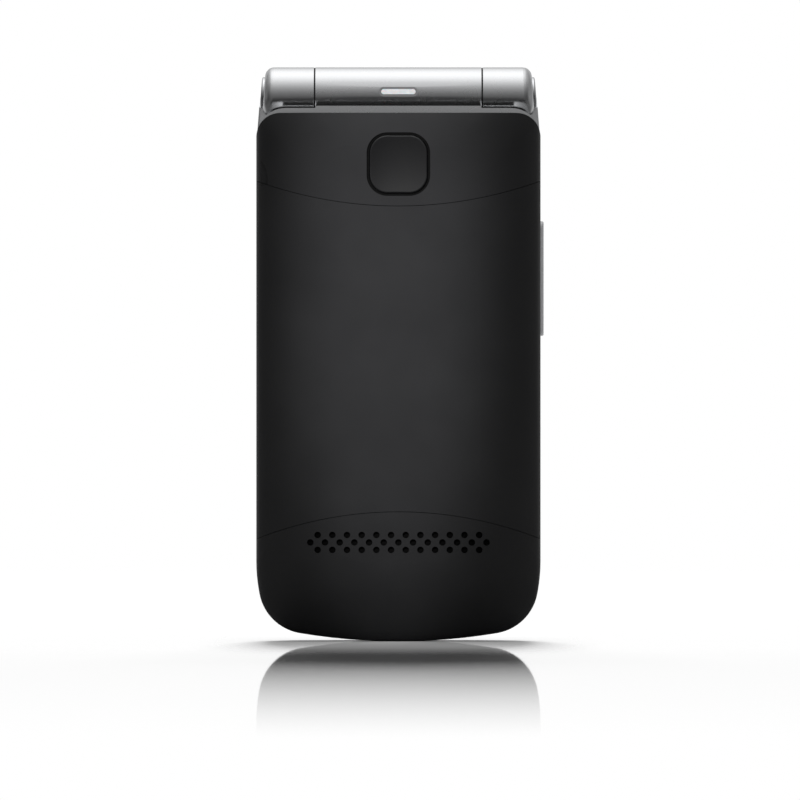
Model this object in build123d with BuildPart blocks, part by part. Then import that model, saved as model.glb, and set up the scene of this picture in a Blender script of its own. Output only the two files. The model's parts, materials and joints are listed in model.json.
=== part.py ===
"""Flip phone, closed, standing on its foot with its hinge at the top.

X runs across the phone, Y from its back to its closed lid, and Z from its foot to its hinge.
The origin is the centre of the phone's footprint, at the foot. All sizes are in millimetres.
"""

import os
from math import cos, radians, sin, sqrt, tan

from build123d import *

# ---------------------------------------------------------------- whole phone
body_length = 105.2  # foot to the top of the hinge barrel
body_width = 52.0
back_y = -9.5  # flat of the back, which the phone can lie on
front_y = 9.5  # flat of the closed lid
foot_radius = 110.0  # gentle curve of the foot
foot_corner = 9.0
foot_lean = 10.0  # degrees that the sides lean in towards the foot
foot_lean_start = 12.0  # above the foot
foot_lean_round = 30.0
fit_gap = 0.1  # between fixed pieces that drop into each other
contact_gap = 0.05  # between pieces that are bonded or clipped together
running_gap = 0.35  # between pieces that swing past each other
screw_fit = 0.03  # thread clearance, on the radius
ledge_overlap = 1.0  # how far a ledge reaches under the plate it carries
rim_bevel = 0.25

# ---------------------------------------------------------------- hinge barrel
knuckle_radius = 4.6
outer_knuckle_length = 9.2
knuckle_gap = 0.3  # between the middle knuckle and each outer one
collar_radius = 4.3  # thin collar that fills most of that gap
collar_length = 0.2
knuckle_inset = 1.3  # from the phone's side to the barrel's end, at the hinge axis
knuckle_round = 1.7
hinge_y = 1.85
end_lean = 4.5  # degrees that the barrel's ends and the lid's upper sides lean inwards
cap_radius = 2.8
cap_seat = 1.2
cap_proud = 0.5
cap_round = 0.3
cam_radius = 2.85
cam_length = 7.0
cam_spindle_radius = 1.2
cam_end_wall = 1.0  # closed end of the cam unit, beyond the spindle's bore
spindle_end_gap = 1.0
shaft_length = 7.0
shaft_flat = 2.3  # from the axis to each flat of the shaft
hinge_pin_radius = 2.0
hinge_pin_bore = 1.3
hinge_pin_reach = 2.6  # how far the pin runs into the middle knuckle
hinge_clearance = 0.04  # running fit, on the radius

# ---------------------------------------------------------------- base
base_rim_y = 1.6  # rim that faces the lid
rear_seat_y = -3.6  # where the rear housing meets the frame
frame_wall = 1.3
rim_drop = 7.6  # from the top of the barrel down to the frame's top ledge
rim_ledge = 1.0  # silver ledge left showing above the rear housing
rim_corner = 5.4
housing_corner = 4.4
top_bar = 3.3  # solid bar under the barrel
neck_rise = 0.4  # top of the middle knuckle's neck above the rim
housing_wall = 1.2
deck_wall = 1.0
crown_shoulder_y = -4.5  # where the back starts to roll over
crown_roll_side = 11.5
crown_roll_foot = 15.0
crown_roll_top = 11.0
crown_overrun = 4.4  # how far the crowned form runs on above the housing's top edge
crown_high_corner = 6.0
crown_angles = (0, 20, 40, 58, 72, 82, 90)  # of the roll, closer together where it runs out into the flat

# battery cover, between two curved seams
lower_seam_z = 23.7
lower_seam_radius = 70.0
upper_seam_drop = 17.0  # from the housing's top edge
upper_seam_radius = 75.3
cover_wall = 1.1
seam_gap = 0.1
cover_edge_y = -5.1  # side edge of the cover
deck_lip = 0.8
snap_thickness = 0.8
snap_width = 3.0
snap_tip_y = -6.2
snap_gap = 0.15
snap_inset = 6.6  # from the phone's side to the snap leg
snap_end_margin = 12.0

# pry notch, at the upper left corner of the battery cover
notch_half_width = 2.1
notch_height = 4.0
notch_floor_y = -6.35
notch_cover_height = 1.0

# battery bay
battery_width = 34.0
battery_thickness = 3.9
battery_corner = 1.5
battery_edge = 0.4
battery_side_gap = 0.2
bay_end_margin = 1.5
bay_wall = 0.8
bay_floor = 0.6
bay_floor_y = -4.1
connector_width = 9.0
connector_length = 3.0
connector_height = 3.3  # above the bay floor
blade_count = 3
blade_pitch = 2.5
blade_width = 1.2
blade_reach = 0.3
card_bay_length = 18.0
card_bay_drop = 12.0  # from the bay's upper end to the middle of the card bay
card_bay_rim = 2.0
card_holder_length = 15.5
card_holder_height = 1.8
card_holder_wall = 0.3

# speaker grille
grille_z = 18.15
grille_pitch_x = 2.68
grille_pitch_z = 1.36
grille_columns = 13
grille_hole = 1.2
mesh_thickness = 0.2
mesh_margin = 1.0
speaker_width = 35.0
speaker_height = 9.0
speaker_thickness = 2.75
speaker_back_y = -7.55
speaker_drop = 1.4  # speaker's centre below the grille's centre
speaker_corner = 1.5
speaker_rim = 1.5
speaker_well = 0.4
speaker_ring_wall = 0.9

# emergency key, in the upper back
sos_opening = 11.6
sos_opening_corner = 3.8
sos_gap = 0.45
sos_drop = 9.4  # from the housing's top edge to the key's centre
sos_sink = 0.25  # the key's rim below the back's surface
sos_plate = 1.35
sos_flange = 0.7
sos_flange_thickness = 0.5
sos_dish_radius = 30.0
sos_dish_depth = 0.67  # deep enough for the dish to reach the key's corners
sos_edge = 0.3
sos_stem = 3.0
sos_travel = 0.4
sos_switch_size = 6.0
sos_switch_height = 1.5
sos_switch_cap = 0.5

# volume rocker, in the right side
rocker_z = 66.4
rocker_length = 21.0
rocker_depth = 2.4
rocker_y = -1.6
rocker_proud = 0.6
rocker_gap = 0.15
rocker_edge = 0.3
rocker_flange = 0.6
rocker_flange_thickness = 0.5
rocker_flange_gap = 0.3
side_switch_spread = 7.5  # each switch from the rocker's middle
side_switch_length = 4.2
side_switch_width = 2.8
side_switch_height = 1.2
side_switch_tip = 0.7
side_switch_gap = 0.2

# ---------------------------------------------------------------- keypad
fascia_recess = 0.5
fascia_thickness = 0.9
key_proud = 0.6
key_flange_thickness = 0.4
key_flange = 0.5
key_flange_gap = 0.05
key_slot_gap = 0.2
key_gap = 1.2
key_corner = 2.2
key_edge = 0.3
key_travel = 0.3
keypad_margin = 2.4
keypad_foot = 9.0
keypad_top_margin = 5.5
function_block = 26.5  # height of the block of soft, call and end keys
nav_flange_gap = 0.3
nav_flange_thickness = 0.25
nav_groove = 0.3
nav_groove_width = 1.6
nav_post_radius = 0.75
nav_post_gap = 0.2
nav_dome_spread = 8.0
mat_gap = 0.02
mat_thickness = 0.3
mat_margin = 1.0
dome_radius = 2.0
dome_height = 0.15
dome_film = 0.1

# ---------------------------------------------------------------- electronics
board_thickness = 0.9
board_margin = 0.3
can_height = 1.3
can_width = 16.0
can_gap = 1.0
can_card_gap = 3.85  # between the cans and the card holders
can_connector_gap = 3.3  # between the cans and the battery connector
solder_corner = 0.3
usb_width = 7.6
usb_height = 2.6
usb_wall = 0.3
usb_corner = 0.8
usb_tongue = 0.8
usb_length = 5.2
usb_recess = 0.8
usb_hole_gap = 0.2
usb_tab = 1.2
microphone_inset = 16.0  # from the phone's side
microphone_z = 6.0
microphone_height = 1.0
microphone_width = 3.0
microphone_length = 2.0
microphone_hole = 0.5
boss_radius = 1.8
boss_gap = 0.2
boss_inset = 5.5  # from the phone's side
boss_foot_z = 30.0
boss_top_drop = 17.6
screw_radius = 0.8
screw_head_radius = 1.4
screw_head = 0.9
screw_slot = 0.4
screw_seat_depth = 2.6  # plastic under each rear screw's head
screw_engagement = 1.9
motor_radius = 4.0
motor_thickness = 2.5
motor_inset = 13.0  # from the phone's side
motor_z = 13.0
antenna_width = 8.0
antenna_height = 8.0
antenna_thickness = 0.3
antenna_gap = 2.7  # from the emergency key's opening
antenna_y = -7.85
lens_width = 6.3
lens_height = 0.95
lens_proud = 0.25
lens_depth = 2.0
lens_surround = 0.4
lens_surround_depth = 0.35
flex_thickness = 0.2
flex_width = 7.0
flex_clearance = 0.25
flex_landing = 2.5  # how far the flexible circuit lies on the main board

# ---------------------------------------------------------------- lid
lid_rim_y = 2.1  # rim that faces the base
lid_seat_y = 5.6  # where the lid cover meets the lid frame
lid_shoulder_y = 6.1
lid_roll_side = 8.0
lid_roll_foot = 9.0
lid_rim_drop = 8.2  # from the top of the barrel down to the lid frame's top, between the knuckles
lid_side_straight_drop = 13.0  # from the barrel's top down to where the lid's sides begin to lean
lid_shoulder_rise = 1.0  # lid's side above the hinge axis
lid_shoulder_corner = 2.5
lid_recess_corner = 1.8  # upper corners of the recess for the inner panel
lid_panel_recess = 0.4
lid_panel_thickness = 0.9
main_window_side = 5.0  # from the phone's side
main_window_foot = 22.0
main_window_top_drop = 14.3  # from the inner panel's top
main_window_thickness = 0.5
main_view_side = 2.5  # black border of the window beside the view
main_view_end = 4.25
main_display_side = 0.75  # from the window's edge to the display's edge
main_display_end = 1.5
main_display_thickness = 2.1
display_step = 0.6
display_border = 1.2
display_corner = 0.8
window_corner = 2.5
lid_board_side = 9.0  # from the phone's side
lid_board_length = 58.0
lid_board_thickness = 0.6
lid_board_drop = 7.6  # from the housing's top edge
outer_window_side = 9.5  # from the phone's side
outer_window_height = 46.0
outer_window_thickness = 0.8
outer_window_corner = 5.0
outer_view_side = 3.5  # black border of the window beside the view
outer_view_height = 21.0
outer_display_side = 1.5  # from the view's edge to the display's edge
outer_display_end = 1.75
outer_display_foot = 6.5  # from the window's foot to the view's foot
camera_drop = 6.5  # from the window's top
camera_radius = 2.2
camera_body = 6.5
camera_base = 1.0
camera_ring_width = 0.8
camera_sink = 0.35  # the camera's front lens below the window's face
earpiece_z = 12.5
earpiece_width = 15.0
earpiece_height = 6.0
earpiece_thickness = 2.1
earpiece_slot_width = 9.0
earpiece_slot_height = 1.2
magnet_radius = 1.6
magnet_thickness = 1.5
magnet_inset = 18.0  # from the phone's side
magnet_drop = 14.0  # from the barrel's top
hall_sensor_width = 2.9
hall_sensor_height = 1.6
hall_sensor_thickness = 0.9
bumper_radius = 1.7
bumper_gap = 0.15
lid_screw_foot_inset = 12.0  # from the phone's side
lid_screw_foot_z = 6.2
lid_screw_top_inset = 5.8
lid_screw_top_drop = 14.3
lid_screw_engagement = 3.0
lid_post_radius = 2.0
lid_post_floor = 0.6
lid_cover_post_radius = 1.6

# ---------------------------------------------------------------- worked out
half_width = body_width / 2
hinge_z = body_length - knuckle_radius
knuckle_end = half_width - knuckle_inset
outer_knuckle_start = knuckle_end - outer_knuckle_length
middle_knuckle_half = outer_knuckle_start - knuckle_gap
swing_radius = knuckle_radius + running_gap
rim_top = body_length - rim_drop
housing_top = rim_top - rim_ledge
inner_top = rim_top - top_bar
inner_corner = rim_corner - frame_wall
upper_seam_z = housing_top - upper_seam_drop
sos_z = housing_top - sos_drop

fascia_front_y = base_rim_y - fascia_recess
fascia_back_y = fascia_front_y - fascia_thickness
key_front_y = fascia_front_y + key_proud
key_flange_front_y = fascia_back_y - key_flange_gap
key_flange_back_y = key_flange_front_y - key_flange_thickness
mat_front_y = key_flange_back_y - key_travel - mat_gap
mat_back_y = mat_front_y - mat_thickness
dome_top_y = mat_back_y - mat_gap
board_front_y = dome_top_y - dome_height - dome_film
board_back_y = board_front_y - board_thickness
board_top = inner_top - board_margin

boss_x = half_width - boss_inset
boss_top_z = housing_top - boss_top_drop
boss_places = [(side * boss_x, z) for side in (-1, 1) for z in (boss_foot_z, boss_top_z)]
screw_seat_y = rear_seat_y - screw_seat_depth
screw_tip_y = rear_seat_y + screw_engagement

bay_foot = lower_seam_z + bay_end_margin
bay_top = upper_seam_z - bay_end_margin
bay_middle = (bay_foot + bay_top) / 2
bay_length = bay_top - bay_foot
bay_half_width = battery_width / 2 + battery_side_gap
card_bay_z = bay_top - card_bay_drop
card_bay_width = 2 * (bay_half_width - card_bay_rim)
battery_foot = bay_foot + connector_length + blade_reach + fit_gap
battery_length = bay_top - battery_side_gap - battery_foot
battery_front_y = bay_floor_y - contact_gap
notch_place = (-half_width, upper_seam_z + upper_seam_radius - sqrt(upper_seam_radius**2 - half_width**2))

speaker_z = grille_z - speaker_drop
speaker_front_y = speaker_back_y + speaker_thickness
rocker_x = half_width - frame_wall  # inner face of the wall that the rocker passes through
rocker_flange_x = rocker_x - rocker_flange_gap - rocker_flange_thickness
switch_edge_x = rocker_flange_x - side_switch_gap - side_switch_tip
rocker_bay_length = rocker_length + 2 * (rocker_flange + rocker_flange_gap)
snap_x = half_width - snap_inset
snap_places = [
    (side * snap_x, z)
    for side in (-1, 1)
    for z in (lower_seam_z + snap_end_margin, upper_seam_z - snap_end_margin)
]
sos_rim_y = back_y + sos_sink
sos_flange_y = sos_rim_y + sos_plate
sos_key_size = sos_opening - 2 * sos_gap

can_foot = bay_foot + connector_length + can_connector_gap
can_length = card_bay_z - card_holder_length / 2 - can_card_gap - can_foot
microphone_x = half_width - microphone_inset
motor_x = motor_inset - half_width
antenna_x = -sos_opening / 2 - antenna_gap - antenna_width / 2
magnet_x = half_width - magnet_inset
usb_y = (board_front_y + board_back_y) / 2
flex_x = -middle_knuckle_half + hinge_pin_reach + flex_clearance + flex_width / 2
flex_room = flex_width / 2 + flex_clearance
flex_radius = hinge_y - board_front_y  # so that its tail lies flat on the main board
lens_seat_y = hinge_y - knuckle_radius
magnet_z = body_length - magnet_drop

panel_back_y = lid_rim_y + lid_panel_recess
panel_front_y = panel_back_y + lid_panel_thickness
lid_rim_top = body_length - lid_rim_drop
lean_z = body_length - lid_side_straight_drop
lid_inner_y = front_y - housing_wall
lid_screw_places = [
    (side * x, z)
    for side in (-1, 1)
    for x, z in (
        (half_width - lid_screw_foot_inset, lid_screw_foot_z),
        (half_width - lid_screw_top_inset, body_length - lid_screw_top_drop),
    )
]
lid_screw_seat_y = panel_front_y + screw_head - lid_panel_recess
lid_post_y = lid_screw_seat_y + lid_post_floor
lid_screw_tip_y = lid_post_y + lid_screw_engagement
main_display_y = panel_front_y + contact_gap
lid_board_y = main_display_y + main_display_thickness + fit_gap
outer_display_y = lid_board_y + lid_board_thickness + contact_gap
outer_display_top_y = lid_inner_y - contact_gap
outer_window_y = front_y - outer_window_thickness
main_window_width = body_width - 2 * main_window_side
main_window_height = inner_top - main_window_top_drop - main_window_foot
main_window_z = main_window_foot + main_window_height / 2
main_view_width = main_window_width - 2 * main_view_side
main_view_height = main_window_height - 2 * main_view_end
main_display_width = main_window_width - 2 * main_display_side
main_display_height = main_window_height - 2 * main_display_end
lid_board_width = body_width - 2 * lid_board_side
lid_board_z = housing_top - lid_board_drop - lid_board_length / 2
outer_window_z = lid_board_z
outer_window_width = body_width - 2 * outer_window_side
outer_view_width = outer_window_width - 2 * outer_view_side
outer_view_z = outer_window_z - outer_window_height / 2 + outer_display_foot + outer_view_height / 2
outer_display_width = outer_view_width + 2 * outer_display_side
outer_display_height = outer_view_height + 2 * outer_display_end
camera_z = outer_window_z + outer_window_height / 2 - camera_drop

# keys, as name: (x, z, width, height)
keypad_half = half_width - frame_wall - keypad_margin
keypad_top = inner_top - keypad_top_margin
keypad_middle = (keypad_foot + keypad_top) / 2
key_width = (2 * keypad_half - 2 * key_gap) / 3
column_pitch = key_width + key_gap
number_block = keypad_top - function_block - key_gap - keypad_foot
key_height = (number_block - 3 * key_gap) / 4
row_pitch = key_height + key_gap
function_height = (function_block - key_gap) / 2
nav_z = keypad_top - function_block / 2
key_rows = [
    ("key_star", "key_0", "key_hash"),
    ("key_7", "key_8", "key_9"),
    ("key_4", "key_5", "key_6"),
    ("key_1", "key_2", "key_3"),
]
keys = {}
for row, row_names in enumerate(key_rows):
    for column, key_name in enumerate(row_names):
        # the keypad is read from the lid's side, so its first column is at +X
        column_x = (1 - column) * column_pitch
        row_z = keypad_foot + key_height / 2 + row * row_pitch
        keys[key_name] = (column_x, row_z, key_width, key_height)
for key_name, side, lift in [
    ("call_key", 1, -1),
    ("end_key", -1, -1),
    ("left_soft_key", 1, 1),
    ("right_soft_key", -1, 1),
]:
    function_z = nav_z + lift * (function_height + key_gap) / 2
    keys[key_name] = (side * column_pitch, function_z, key_width, function_height)
nav_flange_front_y = fascia_back_y - nav_flange_gap
nav_flange_back_y = nav_flange_front_y - nav_flange_thickness
nav_posts = [(0, nav_z - nav_dome_spread), (0, nav_z + nav_dome_spread)]


# ---------------------------------------------------------------- shared forms
def facing_back(y):
    """Plane at depth y that faces the back, so an extrusion grows towards the back."""
    return Plane.XZ.offset(-y)


def across(x):
    """Plane at x that faces +X, with Y to its right and Z up."""
    return Plane.YZ.offset(x)


def end_plane(side):
    """Plane of a barrel end: it faces outwards and a little upwards."""
    lean = radians(end_lean)
    return Plane(
        origin=(side * knuckle_end, hinge_y, hinge_z),
        x_dir=(0, 1, 0),
        z_dir=(side * cos(lean), 0, sin(lean)),
    )


def arc_rise(reach, radius):
    """How far a gentle arc has moved away from its middle at this distance across."""
    return radius - sqrt(radius**2 - reach**2)


def outline(y, half, foot, shoulders, inset, high_corner):
    """The phone's outline seen from behind, drawn in by a wall.

    Its sides lean in towards a curved foot, and go up through the shoulders, given from low to high.
    """
    lean_start = foot + foot_lean_start - inset * (1 - tan(radians(foot_lean / 2)))
    low = foot - ledge_overlap
    low_half = half - (lean_start - low) * tan(radians(foot_lean))
    right_side = [(low_half, low), (half, lean_start), *shoulders]
    left_side = [(-x, z) for x, z in reversed(right_side)]
    with BuildSketch(facing_back(y)) as profile:
        with BuildLine():
            Polyline(*right_side, *left_side, close=True)
        make_face()
        with Locations((0, foot + foot_radius)):
            Circle(foot_radius, mode=Mode.INTERSECT)
        fillet(profile.vertices().group_by(Axis.Y)[-1], high_corner)
        fillet(profile.vertices().group_by(Axis.Y)[1], foot_lean_round - inset)
        fillet(profile.vertices().group_by(Axis.Y)[0], foot_corner - inset)
    return profile.sketch


def base_outline(y, inset, top, high_corner):
    """The base's outline drawn in by a wall, up to a given height."""
    half = half_width - inset
    return outline(y, half, inset, [(half, top)], inset, high_corner)


def lid_outline(y, inset, top, high_corner):
    """The lid's outline drawn in by a wall: its upper sides lean inwards too."""
    half = half_width - inset
    high_half = half - (top - lean_z) * tan(radians(end_lean))
    return outline(y, half, inset, [(half, lean_z), (high_half, top)], inset, high_corner)


def crowned_form(seat, shoulder, crown, inset, roll_side, roll_foot):
    """Solid with straight walls from seat to shoulder that then roll over to a flat crown."""
    outward = 1 if crown > seat else -1
    flat = crown - outward * inset
    top = housing_top + crown_overrun
    with BuildPart() as form:
        extrude(base_outline(seat, inset, top, crown_high_corner), amount=seat - shoulder)
        rings = []
        for angle in crown_angles:
            turn = radians(angle)
            drawn_in = 1 - cos(turn)
            half = half_width - inset - roll_side * drawn_in
            rings.append(
                outline(
                    shoulder + (flat - shoulder) * sin(turn),
                    half,
                    inset + roll_foot * drawn_in,
                    [(half, top - crown_roll_top * drawn_in)],
                    inset,
                    crown_high_corner,
                )
            )
        loft(rings)
    return form.part


def rear_form(inset):
    """The back's crowned form, drawn in by a wall."""
    return crowned_form(rear_seat_y, crown_shoulder_y, back_y, inset, crown_roll_side, crown_roll_foot)


def lid_form(inset):
    """The lid cover's crowned form, drawn in by a wall."""
    return crowned_form(lid_seat_y, lid_shoulder_y, front_y, inset, lid_roll_side, lid_roll_foot)


def between_seams(y, grow):
    """The band between the two curved seams, grown outwards in height."""
    reach = half_width + 1
    low = lower_seam_z - grow
    high = upper_seam_z + grow
    low_side = low - arc_rise(reach, lower_seam_radius)
    high_side = high + arc_rise(reach, upper_seam_radius)
    with BuildSketch(facing_back(y)) as band:
        with BuildLine():
            ThreePointArc((-reach, low_side), (0, low), (reach, low_side))
            Line((reach, low_side), (reach, high_side))
            ThreePointArc((reach, high_side), (0, high), (-reach, high_side))
            Line((-reach, high_side), (-reach, low_side))
        make_face()
    return band.sketch


def barrel(x_from, x_to, radius):
    """Cylinder on the hinge axis between two places across the phone."""
    with BuildPart() as tube:
        with BuildSketch(across(x_from)):
            with Locations((hinge_y, hinge_z)):
                Circle(radius)
        extrude(amount=x_to - x_from)
    return tube.part


def plate(y_front, y_back, place, width, height, corner):
    """Flat plate with round corners, centred at a place seen from behind, between two depths."""
    with BuildPart() as sheet:
        with BuildSketch(facing_back(y_front)):
            with Locations(place):
                RectangleRounded(width, height, corner)
        extrude(amount=y_front - y_back)
    return sheet.part


def posts(y_front, y_back, places, radius):
    """Round posts, or the cutter for round holes, between two depths."""
    with BuildPart() as group:
        with BuildSketch(facing_back(y_front)):
            with Locations(places):
                Circle(radius)
        extrude(amount=y_front - y_back)
    return group.part


def write(name, piece):
    """Labels a finished piece and writes it as one STEP file."""
    piece.label = name
    export_step(piece, f"parts/{name}.step")


os.makedirs("parts", exist_ok=True)
rear_skin = rear_form(0)
rear_lining = rear_form(housing_wall)
speaker_pocket = plate(
    speaker_front_y,
    back_y,
    (0, speaker_z),
    speaker_width + 2 * fit_gap,
    speaker_height + 2 * fit_gap,
    speaker_corner + fit_gap,
)

# ---------------------------------------------------------------- base frame
# Silver band around the base, with the middle knuckle of the hinge on its top bar.
with BuildPart() as base_frame:
    extrude(base_outline(base_rim_y, 0, rim_top, rim_corner), amount=base_rim_y - rear_seat_y)
    chamfer(base_frame.edges().group_by(Axis.Y)[-1], rim_bevel)
    # recess for the fascia, the ledge between the fascia and the main board, and the room behind
    extrude(
        base_outline(base_rim_y, frame_wall, inner_top, inner_corner),
        amount=base_rim_y - fascia_back_y,
        mode=Mode.SUBTRACT,
    )
    extrude(
        base_outline(fascia_back_y, frame_wall + ledge_overlap, inner_top - ledge_overlap, inner_corner),
        amount=fascia_back_y - board_front_y,
        mode=Mode.SUBTRACT,
    )
    extrude(
        base_outline(board_front_y, frame_wall, inner_top, inner_corner),
        amount=board_front_y - rear_seat_y,
        mode=Mode.SUBTRACT,
    )
    # middle knuckle on its neck
    add(barrel(-middle_knuckle_half, middle_knuckle_half, knuckle_radius))
    with BuildSketch(across(-middle_knuckle_half)):
        with BuildLine():
            Polyline(
                (rear_seat_y, inner_top),
                (rear_seat_y, rim_top + neck_rise),
                (hinge_y, rim_top + neck_rise),
                (base_rim_y, inner_top),
                close=True,
            )
        make_face()
    extrude(amount=2 * middle_knuckle_half)
    # room for the lid's outer knuckles
    add(barrel(middle_knuckle_half, half_width + 1, swing_radius), mode=Mode.SUBTRACT)
    add(barrel(-half_width - 1, -middle_knuckle_half, swing_radius), mode=Mode.SUBTRACT)
    collar_half = middle_knuckle_half + collar_length
    add(barrel(-collar_half, collar_half, collar_radius))
    # bores for the shaft on the right, and for the pin and the flexible circuit on the left
    add(barrel(middle_knuckle_half - shaft_length, collar_half, cam_radius), mode=Mode.SUBTRACT)
    add(barrel(-collar_half, flex_x, hinge_pin_radius + hinge_clearance), mode=Mode.SUBTRACT)
    add(barrel(flex_x - flex_room, flex_x + flex_room, flex_radius + flex_clearance), mode=Mode.SUBTRACT)
    with BuildSketch(Plane.XY.offset(inner_top - ledge_overlap)):
        with Locations((flex_x, board_front_y + flex_thickness / 2)):
            Rectangle(2 * flex_room, flex_thickness + 2 * flex_clearance)
    extrude(amount=hinge_z - inner_top + ledge_overlap, mode=Mode.SUBTRACT)
    # seat and shallow surround of the indicator lens
    with BuildSketch(facing_back(lens_seat_y + lens_depth)):
        with Locations((0, hinge_z)):
            SlotOverall(lens_width + 2 * screw_fit, lens_height + 2 * screw_fit)
    extrude(amount=lens_depth + 1, mode=Mode.SUBTRACT)
    with BuildSketch(facing_back(lens_seat_y + lens_surround_depth)):
        with Locations((0, hinge_z)):
            SlotOverall(lens_width + 2 * lens_surround, lens_height + 2 * lens_surround)
    extrude(amount=lens_surround_depth + 1, mode=Mode.SUBTRACT)
    # screw bosses, each tied to the side wall by a rib
    add(posts(board_front_y, rear_seat_y, boss_places, boss_radius))
    for boss_side_x, boss_z in boss_places:
        side = 1 if boss_side_x > 0 else -1
        with BuildSketch(facing_back(board_front_y)):
            with Locations((side * (boss_x + rocker_x) / 2, boss_z)):
                Rectangle(rocker_x - boss_x + fit_gap, boss_radius)
        extrude(amount=board_front_y - rear_seat_y)
    add(
        posts(screw_tip_y + fit_gap, rear_seat_y, boss_places, screw_radius + screw_fit),
        mode=Mode.SUBTRACT,
    )
    # opening for the volume rocker, with room behind it for the rocker's end tabs
    with BuildSketch(across(rocker_x - ledge_overlap)):
        with Locations((rocker_y, rocker_z)):
            SlotOverall(rocker_length + 2 * rocker_gap, rocker_depth + 2 * rocker_gap, rotation=90)
    extrude(amount=ledge_overlap + frame_wall, mode=Mode.SUBTRACT)
    with BuildSketch(across(rocker_x - ledge_overlap)):
        with Locations((rocker_y, rocker_z)):
            Rectangle(rocker_depth + 2 * rocker_gap, rocker_bay_length)
    extrude(amount=ledge_overlap, mode=Mode.SUBTRACT)
    # opening for the charging socket
    with BuildSketch(Plane.XY):
        with Locations((0, usb_y)):
            RectangleRounded(
                usb_width + 2 * usb_hole_gap, usb_height + 2 * usb_hole_gap, usb_corner + usb_hole_gap
            )
    extrude(amount=usb_recess + usb_length, mode=Mode.SUBTRACT)
write("base_frame", base_frame.part)

# ---------------------------------------------------------------- rear housing
# Black shell with the battery bay, the grille and the opening for the emergency key.
with BuildPart() as housing_hollow:
    add(rear_lining)
    extrude(
        base_outline(rear_seat_y, 0, housing_top - housing_wall, housing_corner),
        amount=rear_seat_y - back_y,
        mode=Mode.INTERSECT,
    )

# wall that lies under the battery cover
with BuildPart() as deck:
    add(rear_lining)
    add(rear_form(housing_wall + deck_wall), mode=Mode.SUBTRACT)
    extrude(
        between_seams(crown_shoulder_y, deck_lip),
        amount=crown_shoulder_y - back_y,
        mode=Mode.INTERSECT,
    )
    add(speaker_pocket, mode=Mode.SUBTRACT)

# block of the battery bay, screw columns and the ring around the speaker
with BuildPart() as housing_inside:
    add(
        plate(
            bay_floor_y + bay_floor,
            back_y,
            (0, bay_middle),
            2 * (bay_half_width + bay_wall),
            bay_length + 2 * bay_wall,
            battery_corner,
        )
    )
    add(posts(rear_seat_y, back_y, boss_places, boss_radius))
    add(
        plate(
            speaker_front_y,
            back_y,
            (0, speaker_z),
            speaker_width + 2 * (fit_gap + speaker_ring_wall),
            speaker_height + 2 * (fit_gap + speaker_ring_wall),
            speaker_corner + fit_gap + speaker_ring_wall,
        )
    )
    add(speaker_pocket, mode=Mode.SUBTRACT)
    add(rear_lining, mode=Mode.INTERSECT)

with BuildPart() as rear_housing:
    add(rear_skin)
    extrude(
        base_outline(rear_seat_y, 0, housing_top, housing_corner),
        amount=rear_seat_y - back_y,
        mode=Mode.INTERSECT,
    )
    add(housing_hollow.part, mode=Mode.SUBTRACT)
    extrude(between_seams(cover_edge_y, 0), amount=cover_edge_y - back_y, mode=Mode.SUBTRACT)
    add(deck.part)
    add(housing_inside.part)
    # battery bay, with openings for the battery connector and the card holders in its floor
    with BuildSketch(facing_back(bay_floor_y)):
        with Locations((0, bay_middle)):
            Rectangle(2 * bay_half_width, bay_length)
    extrude(amount=bay_floor_y - back_y, mode=Mode.SUBTRACT)
    with BuildSketch(facing_back(bay_floor_y + bay_floor)):
        with Locations((0, bay_foot + (connector_length + fit_gap) / 2)):
            Rectangle(connector_width + 2 * fit_gap, connector_length + fit_gap)
        with Locations((0, card_bay_z)):
            Rectangle(card_bay_width, card_bay_length)
    extrude(amount=bay_floor, mode=Mode.SUBTRACT)
    # screw holes, counterbored from behind
    add(posts(rear_seat_y, back_y, boss_places, screw_radius + fit_gap), mode=Mode.SUBTRACT)
    add(posts(screw_seat_y, back_y, boss_places, screw_head_radius + fit_gap), mode=Mode.SUBTRACT)
    # slots for the cover's snap legs
    with BuildSketch(facing_back(crown_shoulder_y)):
        with Locations(snap_places):
            Rectangle(snap_thickness + 2 * snap_gap, snap_width + 2 * snap_gap)
    extrude(amount=crown_shoulder_y - back_y, mode=Mode.SUBTRACT)
    # opening for the emergency key
    add(
        plate(crown_shoulder_y, back_y, (0, sos_z), sos_opening, sos_opening, sos_opening_corner),
        mode=Mode.SUBTRACT,
    )
    # grille: three rows of holes, the outer rows half a pitch over
    with BuildSketch(facing_back(speaker_back_y)):
        with Locations((0, grille_z)):
            with GridLocations(grille_pitch_x, 1, grille_columns, 1):
                Circle(grille_hole / 2)
            with GridLocations(grille_pitch_x, 2 * grille_pitch_z, grille_columns - 1, 2):
                Circle(grille_hole / 2)
    extrude(amount=speaker_back_y - back_y, mode=Mode.SUBTRACT)
    # pry notch above the upper left corner of the cover
    with BuildSketch(facing_back(notch_floor_y)):
        with Locations(notch_place):
            Ellipse(notch_half_width, notch_height)
    extrude(amount=notch_floor_y - back_y, mode=Mode.SUBTRACT)
write("rear_housing", rear_housing.part)

# ---------------------------------------------------------------- battery cover
with BuildPart() as snap_legs:
    with BuildSketch(facing_back(snap_tip_y)):
        with Locations(snap_places):
            Rectangle(snap_thickness, snap_width)
    extrude(amount=snap_tip_y - back_y)
    add(rear_form(cover_wall / 2), mode=Mode.INTERSECT)

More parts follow.
